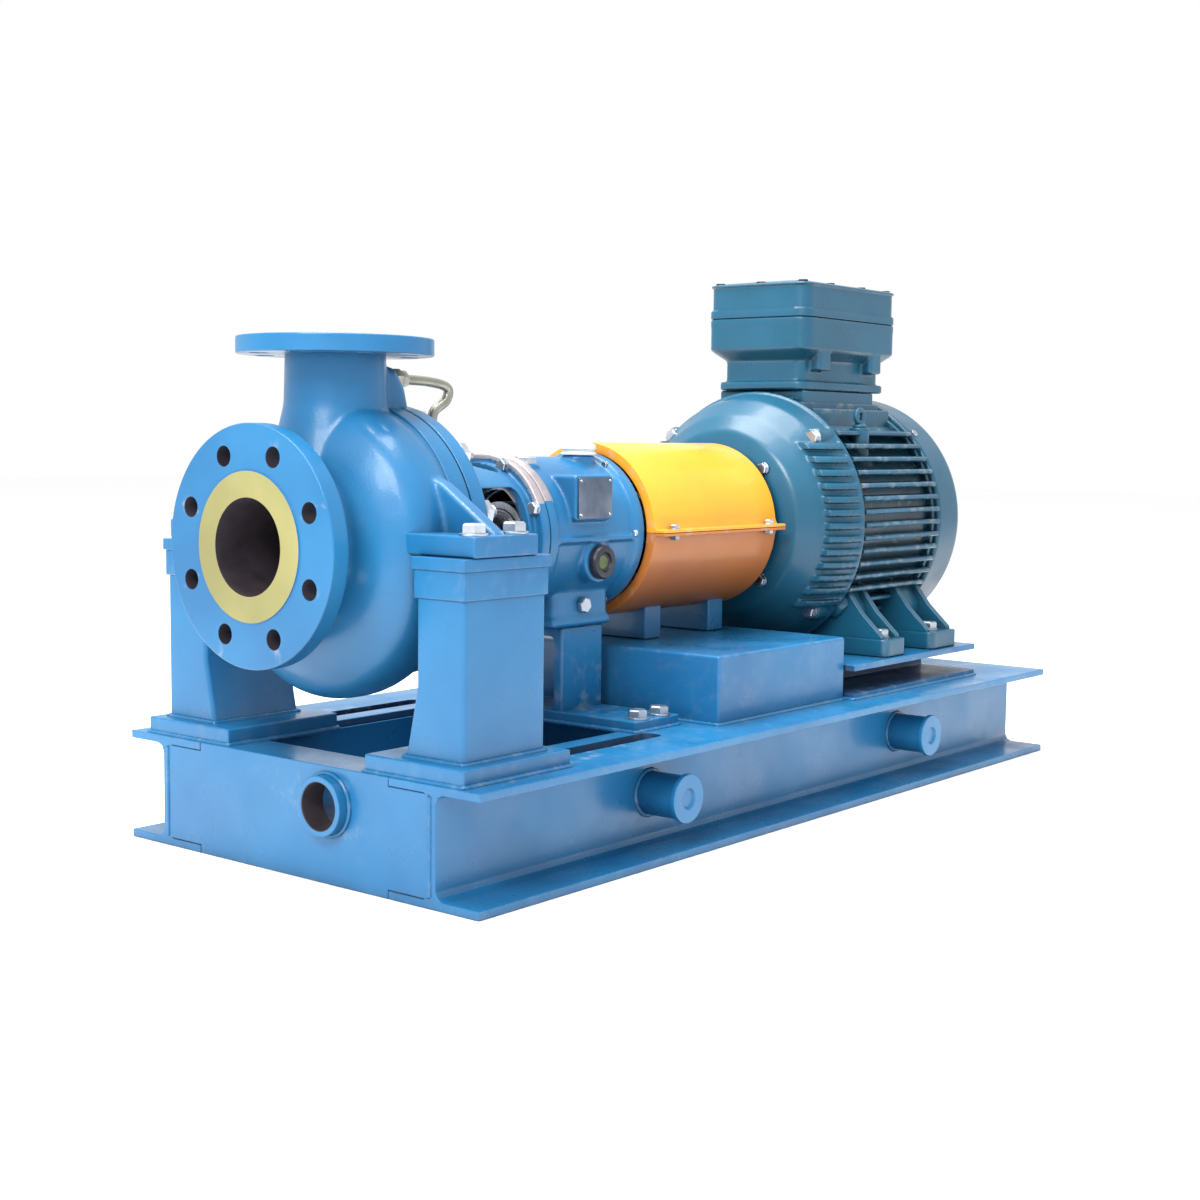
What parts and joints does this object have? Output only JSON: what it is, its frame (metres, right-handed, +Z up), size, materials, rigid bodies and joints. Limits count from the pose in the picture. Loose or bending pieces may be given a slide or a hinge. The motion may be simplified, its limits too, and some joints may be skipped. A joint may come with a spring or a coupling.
{
  "type": "centrifugal process pump set",
  "caption": "Horizontal end-suction centrifugal pump with a spacer coupling, guard and finned motor on a fabricated steel baseplate",
  "frame": {"origin": "middle of the outline, on the floor under the baseplate", "axes": "+X from the suction flange towards the motor along the shaft, +Y to the far side, +Z up"},
  "size_m": [1.315, 0.548, 0.696],
  "materials": {
    "pump_paint": "glossy sky-blue enamel on cast and rolled steel",
    "motor_paint": "darker teal-blue enamel on cast iron",
    "guard_paint": "yellow-orange enamel on rolled sheet",
    "cast_steel": "as cast, lightly machined",
    "machined_steel": "turned and ground",
    "stainless": "dull stainless and zinc plate",
    "graphite": "matt black graphite and fibre",
    "winding": "varnished copper windings in a laminated core",
    "fan_plastic": "moulded light grey plastic",
    "oil_glass": "clear window over yellow-green oil"
  },
  "bodies": {
    "frame": {"side_beam_near": "pump_paint", "side_beam_far": "pump_paint", "end_beam_pump": "pump_paint", "end_beam_motor": "pump_paint", "cross_beam": "pump_paint", "drip_pan": "pump_paint", "drain_coupling": "pump_paint", "deck_plate": "pump_paint", "lifting_trunnion_near_front": "pump_paint", "lifting_trunnion_near_rear": "pump_paint", "lifting_trunnion_far_front": "pump_paint", "lifting_trunnion_far_rear": "pump_paint", "pump_pedestal_near": "pump_paint", "pump_pedestal_far": "pump_paint", "motor_stool": "pump_paint", "motor_rail_near": "pump_paint", "motor_rail_far": "pump_paint", "pump_casing": "pump_paint", "casing_cover": "pump_paint", "bearing_adapter": "pump_paint", "bearing_housing": "pump_paint", "bearing_cover": "pump_paint", "housing_foot": "pump_paint", "motor_frame": "motor_paint", "drive_end_shield": "motor_paint", "rear_end_shield": "motor_paint", "fan_cowl": "motor_paint", "terminal_box": "motor_paint", "terminal_box_lid": "motor_paint", "motor_lifting_eye": "motor_paint", "guard_upper": "guard_paint", "guard_lower": "guard_paint", "casing_wear_ring": "cast_steel", "seal_stationary_ring": "machined_steel", "radial_bearing_outer_ring": "machined_steel", "thrust_bearing_outer_ring": "machined_steel", "motor_drive_bearing_outer_ring": "machined_steel", "seal_gland": "stainless", "seal_flush_pipe": "stainless", "cable_entry_plug": "stainless", "casing_gasket": "graphite", "stator_core": "winding", "oil_sight_glass": "oil_glass"},
    "pump_rotor": {"impeller": "cast_steel", "impeller_nut": "cast_steel", "pump_shaft": "machined_steel", "shaft_sleeve": "machined_steel", "seal_rotary_ring": "graphite", "radial_bearing_inner_ring": "machined_steel", "thrust_bearing_inner_ring": "machined_steel", "pump_coupling_hub": "machined_steel", "flex_discs_pump": "machined_steel", "coupling_spacer": "machined_steel"},
    "motor_rotor": {"motor_shaft": "machined_steel", "rotor_core": "cast_steel", "motor_drive_bearing_inner_ring": "machined_steel", "cooling_fan": "fan_plastic", "motor_coupling_hub": "machined_steel", "flex_discs_motor": "machined_steel"},
    "breather_cap": {"breather_cap": "fan_plastic"}
  },
  "joints": [
    {"name": "motor_spin", "type": "hinge", "parent": "frame", "child": "motor_rotor", "pos_m": [0.2975, 0, 0.352], "axis": [1, 0, 0], "continuous": true},
    {"name": "pump_spin", "type": "hinge", "parent": "frame", "child": "pump_rotor", "pos_m": [-0.2025, 0, 0.352], "axis": [1, 0, 0], "continuous": true},
    {"name": "breather_cap_lift", "type": "slide", "parent": "frame", "child": "breather_cap", "axis": [0, 0, 1], "range_m": [0, 0.03]}
  ],
  "couplings": [
    {"joint": "pump_spin", "follows": "motor_spin", "ratio": 1}
  ]
}
